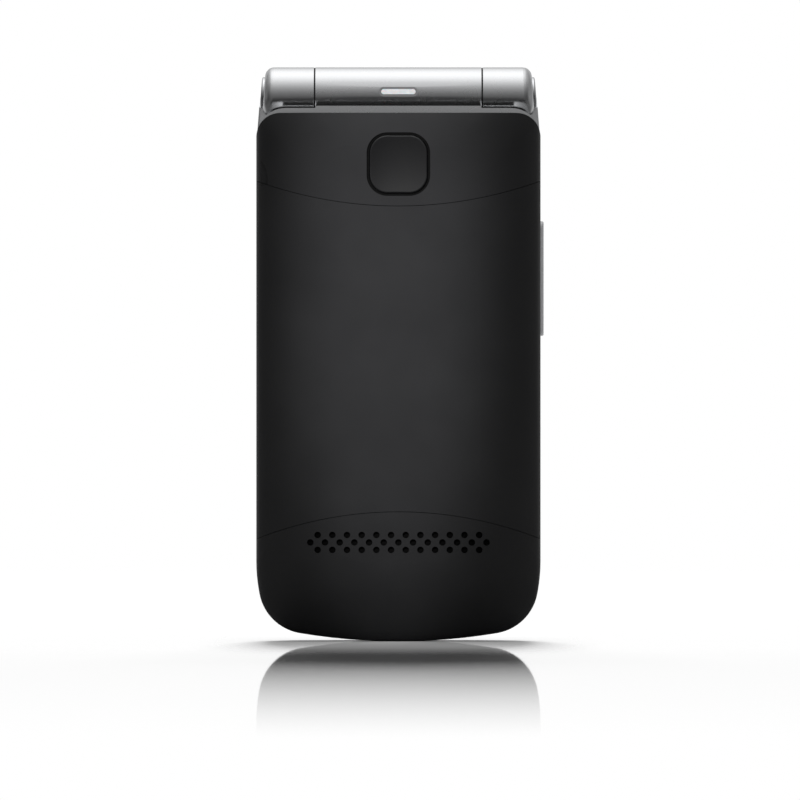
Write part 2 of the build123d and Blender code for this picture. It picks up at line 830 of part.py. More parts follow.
with BuildPart() as battery_cover:
    add(rear_skin)
    add(rear_form(cover_wall), mode=Mode.SUBTRACT)
    extrude(
        between_seams(cover_edge_y - seam_gap, -seam_gap),
        amount=cover_edge_y - seam_gap - back_y,
        mode=Mode.INTERSECT,
    )
    add(snap_legs.part)
    with BuildSketch(facing_back(notch_floor_y)):
        with Locations(notch_place):
            Ellipse(notch_half_width, notch_cover_height)
    extrude(amount=notch_floor_y - back_y, mode=Mode.SUBTRACT)
write("battery_cover", battery_cover.part)

# ---------------------------------------------------------------- battery, its connector, card holders
with BuildPart() as battery:
    add(
        plate(
            battery_front_y,
            battery_front_y - battery_thickness,
            (0, battery_foot + battery_length / 2),
            battery_width,
            battery_length,
            battery_corner,
        )
    )
    fillet(battery.edges().group_by(Axis.Y)[0], battery_edge)
    fillet(battery.edges().group_by(Axis.Y)[-1], battery_edge)
write("battery", battery.part)

with BuildPart() as battery_connector:
    with BuildSketch(facing_back(board_back_y)):
        with Locations((0, bay_foot + connector_length / 2)):
            Rectangle(connector_width, connector_length)
    extrude(amount=board_back_y - bay_floor_y + connector_height)
    with BuildSketch(facing_back(bay_floor_y - fit_gap)):
        with Locations((0, bay_foot + connector_length + blade_reach / 2)):
            with GridLocations(blade_pitch, 1, blade_count, 1):
                Rectangle(blade_width, blade_reach)
    extrude(amount=connector_height - 2 * fit_gap)
write("battery_connector", battery_connector.part)

with BuildPart() as card_holders:
    holder_width = card_bay_width / 2 - 2 * fit_gap
    for side in (-1, 1):
        holder_x = side * (holder_width / 2 + fit_gap)
        add(
            plate(
                board_back_y,
                board_back_y - card_holder_height,
                (holder_x, card_bay_z),
                holder_width,
                card_holder_length,
                solder_corner,
            )
        )
        # slot that the card slides into from the lower end
        with BuildSketch(Plane.XY.offset(card_bay_z - card_holder_length / 2)):
            with Locations((holder_x, board_back_y - card_holder_height / 2)):
                Rectangle(holder_width - 4 * card_holder_wall, card_holder_height - 2 * card_holder_wall)
        extrude(amount=card_holder_length - card_holder_wall, mode=Mode.SUBTRACT)
write("card_holders", card_holders.part)

# ---------------------------------------------------------------- loudspeaker and its mesh
with BuildPart() as loudspeaker:
    add(
        plate(
            speaker_front_y,
            speaker_back_y,
            (0, speaker_z),
            speaker_width,
            speaker_height,
            speaker_corner,
        )
    )
    # shallow well of the cone, facing the grille
    with BuildSketch(facing_back(speaker_back_y + speaker_well)):
        with Locations((0, speaker_z)):
            SlotOverall(speaker_width - 2 * speaker_rim, speaker_height - 2 * speaker_rim)
    extrude(amount=speaker_well, mode=Mode.SUBTRACT)
write("loudspeaker", loudspeaker.part)

with BuildPart() as speaker_mesh:
    add(
        plate(
            speaker_back_y,
            back_y,
            (0, grille_z),
            (grille_columns - 1) * grille_pitch_x + grille_hole + mesh_margin,
            2 * grille_pitch_z + grille_hole + 2 * mesh_margin,
            solder_corner,
        )
    )
    add(rear_form(housing_wall + contact_gap), mode=Mode.INTERSECT)
    add(rear_form(housing_wall + contact_gap + mesh_thickness), mode=Mode.SUBTRACT)
write("speaker_mesh", speaker_mesh.part)

# ---------------------------------------------------------------- main board and what it carries
with BuildPart() as main_board:
    extrude(
        base_outline(board_front_y, frame_wall + board_margin, board_top, inner_corner),
        amount=board_thickness,
    )
    add(posts(board_front_y, board_back_y, boss_places, boss_radius + boss_gap), mode=Mode.SUBTRACT)
    with BuildSketch(facing_back(board_front_y)):
        for boss_side_x, boss_z in boss_places:
            side = 1 if boss_side_x > 0 else -1
            with Locations((side * (boss_x + half_width) / 2, boss_z)):
                Rectangle(half_width - boss_x, boss_radius + 2 * boss_gap)
        with Locations((half_width, rocker_z)):
            Rectangle(2 * (half_width - switch_edge_x), rocker_bay_length)
        with Locations((0, usb_recess + usb_length / 2)):
            Rectangle(usb_width + 2 * fit_gap, usb_length + 2 * fit_gap)
    extrude(amount=board_thickness, mode=Mode.SUBTRACT)
write("main_board", main_board.part)

with BuildPart() as shield_cans:
    for side in (-1, 1):
        can_place = (side * (can_width + can_gap) / 2, can_foot + can_length / 2)
        add(plate(board_back_y, board_back_y - can_height, can_place, can_width, can_length, solder_corner))
write("shield_cans", shield_cans.part)

mat_width = 2 * (keypad_half + mat_margin)
mat_length = keypad_top - keypad_foot + 2 * mat_margin
mat_corner = key_corner + mat_margin
with BuildPart() as dome_sheet:
    add(
        plate(
            board_front_y + dome_film,
            board_front_y,
            (0, keypad_middle),
            mat_width,
            mat_length,
            mat_corner,
        )
    )
    dome_places = [(x, z) for x, z, width, height in keys.values()] + nav_posts
    add(posts(dome_top_y, board_front_y, dome_places, dome_radius))
write("dome_sheet", dome_sheet.part)

with BuildPart() as key_mat:
    add(plate(mat_front_y, mat_back_y, (0, keypad_middle), mat_width, mat_length, mat_corner))
    with BuildSketch(facing_back(mat_front_y)):
        with Locations((0, nav_z)):
            Rectangle(
                key_width + 2 * (key_flange + fit_gap), function_block + 2 * (key_flange + fit_gap)
            )
    extrude(amount=mat_thickness, mode=Mode.SUBTRACT)
write("key_mat", key_mat.part)

with BuildPart() as usb_socket:
    with BuildSketch(Plane.XY.offset(usb_recess)):
        with Locations((0, usb_y)):
            RectangleRounded(usb_width, usb_height, usb_corner)
    extrude(amount=usb_length)
    with BuildSketch(Plane.XY.offset(usb_recess)):
        with Locations((0, usb_y)):
            RectangleRounded(usb_width - 2 * usb_wall, usb_height - 2 * usb_wall, usb_corner - usb_wall)
    extrude(amount=usb_length - usb_wall, mode=Mode.SUBTRACT)
    # tongue inside the shell
    with BuildSketch(Plane.XY.offset(usb_recess + usb_tongue)):
        with Locations((0, usb_y)):
            Rectangle(usb_width - 2 * usb_wall - 2 * usb_tongue, 2 * usb_wall)
    extrude(amount=usb_length - usb_tongue)
    # soldered tabs that rest on the main board
    tab_length = usb_length - frame_wall - ledge_overlap
    for side in (-1, 1):
        with BuildSketch(facing_back(board_front_y + usb_wall)):
            with Locations((side * (usb_width + usb_tab) / 2, usb_recess + usb_length - tab_length / 2)):
                Rectangle(usb_tab + usb_wall, tab_length)
        extrude(amount=usb_wall)
write("usb_socket", usb_socket.part)

with BuildPart() as microphone:
    microphone_y = board_front_y + microphone_height
    microphone_place = (microphone_x, microphone_z)
    add(
        plate(
            microphone_y,
            board_front_y,
            microphone_place,
            microphone_width,
            microphone_length,
            solder_corner,
        )
    )
    add(
        posts(microphone_y, microphone_y - usb_wall, [microphone_place], microphone_hole),
        mode=Mode.SUBTRACT,
    )
write("microphone", microphone.part)

with BuildPart() as vibration_motor:
    add(posts(board_back_y, board_back_y - motor_thickness, [(motor_x, motor_z)], motor_radius))
    chamfer(vibration_motor.edges().group_by(Axis.Y)[0], solder_corner)
write("vibration_motor", vibration_motor.part)

with BuildPart() as hall_sensor:
    add(
        plate(
            board_front_y + hall_sensor_thickness,
            board_front_y,
            (magnet_x, magnet_z),
            hall_sensor_width,
            hall_sensor_height,
            fit_gap,
        )
    )
write("hall_sensor", hall_sensor.part)

# plate behind the upper back, with a spring leg that stands on the main board
with BuildPart() as antenna:
    add(
        plate(
            antenna_y + antenna_thickness,
            antenna_y,
            (antenna_x, sos_z),
            antenna_width,
            antenna_height,
            solder_corner,
        )
    )
    with BuildSketch(facing_back(board_back_y)):
        with Locations((antenna_x, sos_z - antenna_height / 2 + antenna_thickness)):
            Rectangle(blade_width, antenna_thickness)
    extrude(amount=board_back_y - antenna_y)
write("antenna", antenna.part)

with BuildPart() as sos_switch:
    add(
        plate(
            board_back_y,
            board_back_y - sos_switch_height + sos_switch_cap,
            (0, sos_z),
            sos_switch_size,
            sos_switch_size,
            solder_corner,
        )
    )
    add(posts(board_back_y, board_back_y - sos_switch_height, [(0, sos_z)], sos_stem / 2))
write("sos_switch", sos_switch.part)

with BuildPart() as side_switches:
    for side in (-1, 1):
        switch_z = rocker_z + side * side_switch_spread
        add(
            plate(
                board_back_y,
                board_back_y - side_switch_height,
                (switch_edge_x - side_switch_width / 2, switch_z),
                side_switch_width,
                side_switch_length,
                fit_gap,
            )
        )
        with BuildSketch(across(switch_edge_x - fit_gap)):
            with Locations((board_back_y - side_switch_height / 2, switch_z)):
                Rectangle(side_switch_height / 2, side_switch_length / 3)
        extrude(amount=side_switch_tip + fit_gap)
write("side_switches", side_switches.part)

with BuildPart() as base_screws:
    add(posts(screw_tip_y, screw_seat_y, boss_places, screw_radius))
    add(posts(screw_seat_y, screw_seat_y - screw_head, boss_places, screw_head_radius))
    # cross recess
    with BuildSketch(facing_back(screw_seat_y - screw_head / 2)):
        with Locations(boss_places):
            Rectangle(screw_head_radius, screw_slot)
            Rectangle(screw_slot, screw_head_radius)
    extrude(amount=screw_head / 2, mode=Mode.SUBTRACT)
write("base_screws", base_screws.part)

# ---------------------------------------------------------------- keypad
with BuildPart() as keypad_fascia:
    extrude(
        base_outline(fascia_front_y, frame_wall + fit_gap, inner_top - fit_gap, inner_corner - fit_gap),
        amount=fascia_thickness,
    )
    with BuildSketch(facing_back(fascia_front_y)):
        for x, z, width, height in list(keys.values()) + [(0, nav_z, key_width, function_block)]:
            with Locations((x, z)):
                RectangleRounded(
                    width + 2 * key_slot_gap, height + 2 * key_slot_gap, key_corner + key_slot_gap
                )
        with Locations((microphone_x, microphone_z)):
            Circle(microphone_hole)
    extrude(amount=fascia_thickness, mode=Mode.SUBTRACT)
write("keypad_fascia", keypad_fascia.part)

for key_name, (x, z, width, height) in keys.items():
    with BuildPart() as key:
        add(plate(key_front_y, key_flange_front_y, (x, z), width, height, key_corner))
        fillet(key.edges().group_by(Axis.Y)[-1], key_edge)
        add(
            plate(
                key_flange_front_y,
                key_flange_back_y,
                (x, z),
                width + 2 * key_flange,
                height + 2 * key_flange,
                key_corner + key_flange,
            )
        )
    write(key_name, key.part)

# tall rocker that tips up or down between the soft keys
with BuildPart() as nav_rocker:
    add(plate(key_front_y, nav_flange_front_y, (0, nav_z), key_width, function_block, key_corner))
    fillet(nav_rocker.edges().group_by(Axis.Y)[-1], key_edge)
    add(
        plate(
            nav_flange_front_y,
            nav_flange_back_y,
            (0, nav_z),
            key_width + 2 * key_flange,
            function_block + 2 * key_flange,
            key_corner + key_flange,
        )
    )
    add(posts(nav_flange_back_y, dome_top_y + nav_post_gap, nav_posts, nav_post_radius))
    with BuildSketch(facing_back(key_front_y)):
        with Locations((0, nav_z)):
            Rectangle(key_width, nav_groove_width)
    extrude(amount=nav_groove, mode=Mode.SUBTRACT)
write("nav_rocker", nav_rocker.part)

# ---------------------------------------------------------------- emergency key
with BuildPart() as sos_key:
    add(
        plate(
            sos_flange_y,
            sos_rim_y,
            (0, sos_z),
            sos_key_size,
            sos_key_size,
            sos_opening_corner - sos_gap,
        )
    )
    with Locations((0, sos_rim_y + sos_dish_depth - sos_dish_radius, sos_z)):
        Sphere(sos_dish_radius, mode=Mode.SUBTRACT)
    fillet(sos_key.faces().filter_by(GeomType.SPHERE)[0].edges(), sos_edge)
    add(
        plate(
            sos_flange_y + sos_flange_thickness,
            sos_flange_y,
            (0, sos_z),
            sos_opening + 2 * sos_flange,
            sos_opening + 2 * sos_flange,
            sos_opening_corner + sos_flange,
        )
    )
    stem_tip_y = board_back_y - sos_switch_height - sos_travel - contact_gap
    add(posts(stem_tip_y, sos_flange_y, [(0, sos_z)], sos_stem / 2))
write("sos_key", sos_key.part)

# ---------------------------------------------------------------- volume rocker
with BuildPart() as volume_rocker:
    with BuildSketch(across(rocker_flange_x)):
        with Locations((rocker_y, rocker_z)):
            SlotOverall(rocker_length, rocker_depth, rotation=90)
    extrude(amount=half_width + rocker_proud - rocker_flange_x)
    fillet(volume_rocker.edges().group_by(Axis.X)[-1], rocker_edge)
    with BuildSketch(across(rocker_flange_x)):
        with Locations((rocker_y, rocker_z)):
            Rectangle(rocker_depth, rocker_length + 2 * rocker_flange)
    extrude(amount=rocker_flange_thickness)
write("volume_rocker", volume_rocker.part)

# ---------------------------------------------------------------- indicator lens
with BuildPart() as indicator_lens:
    with BuildSketch(facing_back(lens_seat_y + lens_depth - fit_gap)):
        with Locations((0, hinge_z)):
            SlotOverall(lens_width, lens_height)
    extrude(amount=lens_depth - fit_gap + lens_proud)
write("indicator_lens", indicator_lens.part)

# ---------------------------------------------------------------- hinge hardware in the base
with BuildPart() as hinge_shaft:
    add(barrel(middle_knuckle_half - shaft_length, middle_knuckle_half, cam_radius - fit_gap))
    with BuildSketch(across(middle_knuckle_half - shaft_length)):
        with Locations((hinge_y, hinge_z)):
            Rectangle(2 * shaft_flat, 2 * cam_radius)
    extrude(amount=shaft_length, mode=Mode.INTERSECT)
    spindle_end = outer_knuckle_start + cam_length - cam_end_wall - spindle_end_gap
    add(barrel(middle_knuckle_half, spindle_end, cam_spindle_radius))
write("hinge_shaft", hinge_shaft.part)

with BuildPart() as hinge_flex:
    tail_foot = inner_top - ledge_overlap - flex_landing
    with BuildSketch(across(flex_x - flex_width / 2)):
        with Locations((hinge_y, hinge_z)):
            Circle(flex_radius)
            Circle(flex_radius - flex_thickness, mode=Mode.SUBTRACT)
        with Locations((board_front_y + flex_thickness / 2, (hinge_z + tail_foot) / 2)):
            Rectangle(flex_thickness, hinge_z - tail_foot)
    extrude(amount=flex_width)
write("hinge_flex", hinge_flex.part)

# ---------------------------------------------------------------- lid frame
# Silver band around the lid, with the two outer knuckles and the leaning sides.
with BuildPart() as outer_knuckles:
    add(barrel(outer_knuckle_start, half_width + 2, knuckle_radius))
    add(barrel(-half_width - 2, -outer_knuckle_start, knuckle_radius))
    for side in (-1, 1):
        with BuildSketch(end_plane(side)):
            Rectangle(4 * knuckle_radius, 4 * knuckle_radius)
        extrude(amount=2 * knuckle_radius, mode=Mode.SUBTRACT)
    fillet(outer_knuckles.faces().sort_by(Axis.X)[0].edges(), knuckle_round)
    fillet(outer_knuckles.faces().sort_by(Axis.X)[-1].edges(), knuckle_round)

with BuildPart() as lid_frame:
    extrude(
        lid_outline(lid_seat_y, 0, hinge_z + lid_shoulder_rise, lid_shoulder_corner),
        amount=lid_seat_y - lid_rim_y,
    )
    chamfer(lid_frame.edges().group_by(Axis.Y)[0], rim_bevel)
    # room between the outer knuckles for the middle one
    with BuildSketch(facing_back(lid_seat_y)):
        with Locations((0, lid_rim_top)):
            Rectangle(2 * outer_knuckle_start, 2 * knuckle_radius, align=(Align.CENTER, Align.MIN))
    extrude(amount=lid_seat_y - lid_rim_y, mode=Mode.SUBTRACT)
    add(outer_knuckles.part)
    add(barrel(-outer_knuckle_start, outer_knuckle_start, swing_radius), mode=Mode.SUBTRACT)
    # recess for the inner panel, and the ledge that carries it
    extrude(
        lid_outline(panel_front_y, frame_wall, inner_top, lid_recess_corner),
        amount=panel_front_y - lid_rim_y,
        mode=Mode.SUBTRACT,
    )
    extrude(
        lid_outline(
            lid_seat_y,
            frame_wall + ledge_overlap,
            inner_top - ledge_overlap,
            lid_recess_corner - ledge_overlap,
        ),
        amount=lid_seat_y - panel_front_y,
        mode=Mode.SUBTRACT,
    )
    # bores for the cam unit on the right and the pin on the left
    add(
        barrel(outer_knuckle_start, outer_knuckle_start + cam_length + fit_gap, cam_radius + contact_gap),
        mode=Mode.SUBTRACT,
    )
    add(
        barrel(-outer_knuckle_start - cam_length, -outer_knuckle_start, hinge_pin_radius + screw_fit),
        mode=Mode.SUBTRACT,
    )
    # seats of the end caps
    for side in (-1, 1):
        with BuildSketch(end_plane(side).offset(-cap_seat)):
            Circle(cap_radius + contact_gap)
        extrude(amount=cap_seat + knuckle_radius, mode=Mode.SUBTRACT)
write("lid_frame", lid_frame.part)

with BuildPart() as hinge_caps:
    for side in (-1, 1):
        with BuildSketch(end_plane(side).offset(contact_gap - cap_seat)):
            Circle(cap_radius)
        extrude(amount=cap_seat - contact_gap + cap_proud)
    fillet(hinge_caps.faces().sort_by(Axis.X)[0].edges(), cap_round)
    fillet(hinge_caps.faces().sort_by(Axis.X)[-1].edges(), cap_round)
write("hinge_caps", hinge_caps.part)

with BuildPart() as hinge_cam_unit:
    cam_start = outer_knuckle_start + fit_gap
    add(barrel(cam_start, outer_knuckle_start + cam_length, cam_radius))
    add(
        barrel(
            cam_start,
            outer_knuckle_start + cam_length - cam_end_wall,
            cam_spindle_radius + hinge_clearance,
        ),
        mode=Mode.SUBTRACT,
    )
write("hinge_cam_unit", hinge_cam_unit.part)

with BuildPart() as hinge_pin:
    pin_start = -outer_knuckle_start - cam_length + fit_gap
    pin_end = -middle_knuckle_half + hinge_pin_reach - fit_gap
    add(barrel(pin_start, pin_end, hinge_pin_radius))
    add(barrel(pin_start, pin_end, hinge_pin_bore), mode=Mode.SUBTRACT)
write("hinge_pin", hinge_pin.part)

# ---------------------------------------------------------------- lid cover
# Black shell with the seat of the outer window and the posts that the lid's screws bite into.
with BuildPart() as lid_hollow:
    add(lid_form(housing_wall))
    extrude(
        lid_outline(front_y, 0, housing_top - housing_wall, housing_corner - housing_wall),
        amount=front_y - lid_seat_y,
        mode=Mode.INTERSECT,
    )

with BuildPart() as lid_cover:
    add(lid_form(0))
    extrude(
        lid_outline(front_y, 0, housing_top, housing_corner),
        amount=front_y - lid_seat_y,
        mode=Mode.INTERSECT,
    )
    add(lid_hollow.part, mode=Mode.SUBTRACT)
    lid_wall_y = front_y - housing_wall / 2
    add(posts(lid_wall_y, lid_post_y + contact_gap, lid_screw_places, lid_cover_post_radius))
    add(
        posts(lid_screw_tip_y + fit_gap, lid_post_y, lid_screw_places, screw_radius + screw_fit),
        mode=Mode.SUBTRACT,
    )
    # seat of the outer window, and the views through the wall behind it
    add(
        plate(
            front_y,
            outer_window_y,
            (0, outer_window_z),
            outer_window_width + 2 * fit_gap,
            outer_window_height + 2 * fit_gap,
            outer_window_corner + fit_gap,
        ),
        mode=Mode.SUBTRACT,
    )
    add(
        plate(
            outer_window_y,
            lid_inner_y,
            (0, outer_view_z),
            outer_view_width,
            outer_view_height,
            display_corner,
        ),
        mode=Mode.SUBTRACT,
    )
    add(
        posts(outer_window_y, lid_inner_y, [(0, camera_z)], camera_radius + camera_ring_width),
        mode=Mode.SUBTRACT,
    )
write("lid_cover", lid_cover.part)

# ---------------------------------------------------------------- lid inner panel
with BuildPart() as lid_inner_panel:
    extrude(
        lid_outline(
            panel_front_y, frame_wall + fit_gap, inner_top - fit_gap, lid_recess_corner - fit_gap
        ),
        amount=lid_panel_thickness,
    )
    add(posts(lid_post_y, panel_front_y, lid_screw_places, lid_post_radius))
    add(
        posts(lid_screw_seat_y, panel_back_y, lid_screw_places, screw_head_radius + fit_gap),
        mode=Mode.SUBTRACT,
    )
    add(
        posts(lid_post_y, panel_back_y, lid_screw_places, screw_radius + fit_gap),
        mode=Mode.SUBTRACT,
    )
    # seat of the main window, the view through it and the slot of the earpiece
    add(
        plate(
            panel_back_y + main_window_thickness,
            panel_back_y,
            (0, main_window_z),
            main_window_width + 2 * fit_gap,
            main_window_height + 2 * fit_gap,
            window_corner + fit_gap,
        ),
        mode=Mode.SUBTRACT,
    )
    add(
        plate(
            panel_front_y,
            panel_back_y,
            (0, main_window_z),
            main_view_width,
            main_view_height,
            display_corner,
        ),
        mode=Mode.SUBTRACT,
    )
    with BuildSketch(facing_back(panel_front_y)):
        with Locations((0, earpiece_z)):
            SlotOverall(earpiece_slot_width, earpiece_slot_height)
    extrude(amount=lid_panel_thickness, mode=Mode.SUBTRACT)
write("lid_inner_panel", lid_inner_panel.part)

# ---------------------------------------------------------------- displays, windows and camera
with BuildPart() as main_window:
    add(
        plate(
            panel_back_y + main_window_thickness,
            panel_back_y,
            (0, main_window_z),
            main_window_width,
            main_window_height,
            window_corner,
        )
    )
write("main_window", main_window.part)

with BuildPart() as main_display:
    add(
        plate(
            main_display_y + main_display_thickness,
            main_display_y + display_step,
            (0, main_window_z),
            main_display_width,
            main_display_height,
            display_corner,
        )
    )
    add(
        plate(
            main_display_y + display_step,
            main_display_y,
            (0, main_window_z),
            main_display_width - 2 * display_border,
            main_display_height - 2 * display_border,
            display_corner,
        )
    )
write("main_display", main_display.part)

with BuildPart() as lid_board:
    add(
        plate(
            lid_board_y + lid_board_thickness,
            lid_board_y,
            (0, lid_board_z),
            lid_board_width,
            lid_board_length,
            display_corner,
        )
    )
write("lid_board", lid_board.part)

with BuildPart() as outer_display:
    add(
        plate(
            outer_display_top_y - display_step,
            outer_display_y,
            (0, outer_view_z),
            outer_display_width,
            outer_display_height,
            display_corner,
        )
    )
    add(
        plate(
            outer_display_top_y,
            outer_display_top_y - display_step,
            (0, outer_view_z),
            outer_display_width - 2 * display_border,
            outer_display_height - 2 * display_border,
            display_corner,
        )
    )
write("outer_display", outer_display.part)

with BuildPart() as outer_window:
    add(
        plate(
            front_y,
            outer_window_y,
            (0, outer_window_z),
            outer_window_width,
            outer_window_height,
            outer_window_corner,
        )
    )
    add(
        posts(front_y, outer_window_y, [(0, camera_z)], camera_radius + camera_ring_width + contact_gap),
        mode=Mode.SUBTRACT,
    )
write("outer_window", outer_window.part)

with BuildPart() as camera_ring:
    add(posts(front_y, outer_window_y, [(0, camera_z)], camera_radius + camera_ring_width))
    add(posts(front_y, outer_window_y, [(0, camera_z)], camera_radius), mode=Mode.SUBTRACT)
    chamfer(camera_ring.edges().group_by(Axis.Y)[-1], camera_ring_width / 4)
write("camera_ring", camera_ring.part)

with BuildPart() as camera_module:
    add(
        plate(
            outer_display_y + camera_base,
            outer_display_y,
            (0, camera_z),
            camera_body,
            camera_body,
            display_corner,
        )
    )
    add(
        posts(
            front_y - camera_sink,
            outer_display_y + camera_base,
            [(0, camera_z)],
            camera_radius - contact_gap,
        )
    )
write("camera_module", camera_module.part)

# ---------------------------------------------------------------- other pieces of the lid
with BuildPart() as earpiece:
    with BuildSketch(facing_back(panel_front_y + contact_gap + earpiece_thickness)):
        with Locations((0, earpiece_z)):
            SlotOverall(earpiece_width, earpiece_height)
    extrude(amount=earpiece_thickness)
write("earpiece", earpiece.part)

with BuildPart() as lid_magnet:
    magnet_y = panel_front_y + contact_gap
    add(posts(magnet_y + magnet_thickness, magnet_y, [(magnet_x, magnet_z)], magnet_radius))
write("lid_magnet", lid_magnet.part)

with BuildPart() as bumpers:
    add(posts(panel_back_y, fascia_front_y + bumper_gap, lid_screw_places, bumper_radius))
    fillet(bumpers.edges().group_by(Axis.Y)[0], rim_bevel)
write("bumpers", bumpers.part)

with BuildPart() as lid_screws:
    add(posts(lid_screw_seat_y, lid_screw_seat_y - screw_head, lid_screw_places, screw_head_radius))
    add(posts(lid_screw_tip_y, lid_screw_seat_y, lid_screw_places, screw_radius))
    with BuildSketch(facing_back(lid_screw_seat_y - screw_head / 2)):
        with Locations(lid_screw_places):
            Rectangle(screw_head_radius, screw_slot)
            Rectangle(screw_slot, screw_head_radius)
    extrude(amount=screw_head / 2, mode=Mode.SUBTRACT)
write("lid_screws", lid_screws.part)
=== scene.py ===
"""Finishes, printed marks and studio for a closed flip phone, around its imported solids.

X runs across the phone, Y from its back to its lid, and Z from its foot to its hinge, in metres.
"""

import json
from math import pi, radians

import bmesh
import bpy
from mathutils import Matrix, Vector


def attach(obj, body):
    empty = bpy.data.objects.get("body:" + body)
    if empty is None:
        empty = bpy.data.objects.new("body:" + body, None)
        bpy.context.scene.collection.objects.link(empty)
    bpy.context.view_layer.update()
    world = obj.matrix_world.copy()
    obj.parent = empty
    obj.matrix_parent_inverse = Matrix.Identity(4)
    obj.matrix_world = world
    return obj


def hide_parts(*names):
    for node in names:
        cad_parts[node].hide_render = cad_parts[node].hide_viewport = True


mm = 0.001

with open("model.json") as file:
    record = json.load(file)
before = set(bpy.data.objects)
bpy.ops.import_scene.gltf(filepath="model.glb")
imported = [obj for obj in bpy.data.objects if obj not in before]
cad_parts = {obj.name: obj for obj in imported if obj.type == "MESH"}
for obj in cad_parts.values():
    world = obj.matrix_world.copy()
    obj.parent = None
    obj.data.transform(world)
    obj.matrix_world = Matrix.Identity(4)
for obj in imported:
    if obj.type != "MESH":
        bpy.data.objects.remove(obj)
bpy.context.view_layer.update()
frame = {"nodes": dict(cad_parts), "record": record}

# ---------------------------------------------------------------- camera
# Level with the middle of the frame, square to the phone's back, with a long lens.
view_width = 146.24 * mm
view_middle = Vector((0.29 * mm, -6 * mm, 44.15 * mm))
camera_distance = 2.0

camera_data = bpy.data.cameras.new("camera")
camera_data.sensor_width = 36
camera_data.lens = camera_data.sensor_width * camera_distance / view_width
camera = bpy.data.objects.new("camera", camera_data)
camera.location = view_middle - Vector((0, camera_distance, 0))
camera.rotation_euler = (radians(90), 0, 0)
bpy.context.scene.collection.objects.link(camera)
bpy.context.scene.camera = camera
bpy.context.scene.view_settings.view_transform = "Standard"


# ---------------------------------------------------------------- material kit
def colour(hex_code, alpha=1.0):
    """Linear colour of an sRGB hex value."""
    channels = [int(hex_code[i : i + 2], 16) / 255 for i in (1, 3, 5)]
    linear = [c / 12.92 if c <= 0.04045 else ((c + 0.055) / 1.055) ** 2.4 for c in channels]
    return (*linear, alpha)


def add_node(material, kind, settings=None, links=None):
    """Adds a node: settings go to its sockets or its own options, links come from other nodes' outputs."""
    node = material.node_tree.nodes.new("ShaderNode" + kind)
    for name, value in (settings or {}).items():
        if isinstance(name, int) or name in node.inputs:
            node.inputs[name].default_value = value
        else:
            setattr(node, name, value)
    for name, source in (links or {}).items():
        material.node_tree.links.new(source, node.inputs[name])
    return node


def new_material(name):
    material = bpy.data.materials.new(name)
    material.use_nodes = True
    material.node_tree.nodes.clear()
    return material


def add_place(material):
    return add_node(material, "TexCoord").outputs["Object"]


def add_noise(material, grain, detail=2.0):
    """Noise whose lumps are about one grain across."""
    return add_node(
        material,
        "TexNoise",
        {"Scale": 1 / grain, "Detail": detail, "Roughness": 0.55},
        {"Vector": add_place(material)},
    ).outputs["Fac"]


def add_range(material, source, low, high):
    """Spreads a 0 to 1 value over a range."""
    return add_node(material, "MapRange", {"To Min": low, "To Max": high}, {"Value": source}).outputs[
        "Result"
    ]


def add_fade(material, source, start, end, low, high):
    """Smooth change from one level to another as a distance runs from start to end."""
    settings = {"From Min": start, "From Max": end, "To Min": low, "To Max": high}
    return add_node(
        material, "MapRange", {**settings, "interpolation_type": "SMOOTHSTEP"}, {"Value": source}
    ).outputs["Result"]


def add_math(material, operation, first, second):
    """Combines two values, each a socket or a number."""
    pair = {0: first, 1: second}
    numbers = {key: value for key, value in pair.items() if isinstance(value, (int, float))}
    sockets = {key: value for key, value in pair.items() if key not in numbers}
    return add_node(material, "Math", {"operation": operation, **numbers}, sockets).outputs["Value"]


def add_tint(material, source, dark, light):
    """Runs from one colour to another as the value rises."""
    ramp = add_node(material, "ValToRGB", links={"Fac": source})
    ramp.color_ramp.elements[0].position = 0.3
    ramp.color_ramp.elements[1].position = 0.7
    ramp.color_ramp.elements[0].color = colour(dark)
    ramp.color_ramp.elements[1].color = colour(light)
    return ramp.outputs["Color"]


def add_bump(material, height, depth):
    """Turns a height pattern into a surface this many metres deep."""
    return add_node(material, "Bump", {"Strength": 1.0, "Distance": depth}, {"Height": height}).outputs[
        "Normal"
    ]


def finish_material(material, settings, links=None):
    shader = add_node(material, "BsdfPrincipled", settings, links)
    add_node(material, "OutputMaterial", links={"Surface": shader.outputs["BSDF"]})
    return material


# ---------------------------------------------------------------- finishes
def sprayed_silver_paint(name, metallic):
    """Metallic lacquer over plastic: a soft sheen with faint flake, a little uneven where it was sprayed."""
    material = new_material(name)
    flake = add_noise(material, 0.12 * mm)
    cloud = add_noise(material, 9 * mm)
    return finish_material(
        material,
        {"Metallic": metallic, "Coat Weight": 0.2, "Coat Roughness": 0.15},
        {
            "Base Color": add_tint(material, flake, "#dadbdd", "#e4e5e6"),
            "Roughness": add_range(material, cloud, 0.25, 0.3),
            "Normal": add_bump(material, flake, 0.0003 * mm),
        },
    )


def spark_textured_black_abs(name, dark, light, roughness, depth):
    """Black ABS moulded in a spark-eroded tool: matt, with a fine even grain that softens highlights.
    The real grain is about 0.05 mm, and is drawn at 0.16 mm so that it shows."""
    material = new_material(name)
    grain = add_noise(material, 0.16 * mm, 3.0)
    handling = add_noise(material, 14 * mm)
    return finish_material(
        material,
        {"Specular IOR Level": 0.35},
        {
            "Base Color": add_tint(material, handling, dark, light),
            "Roughness": add_range(material, handling, roughness, roughness + 0.05),
            "Normal": add_bump(material, grain, depth),
        },
    )


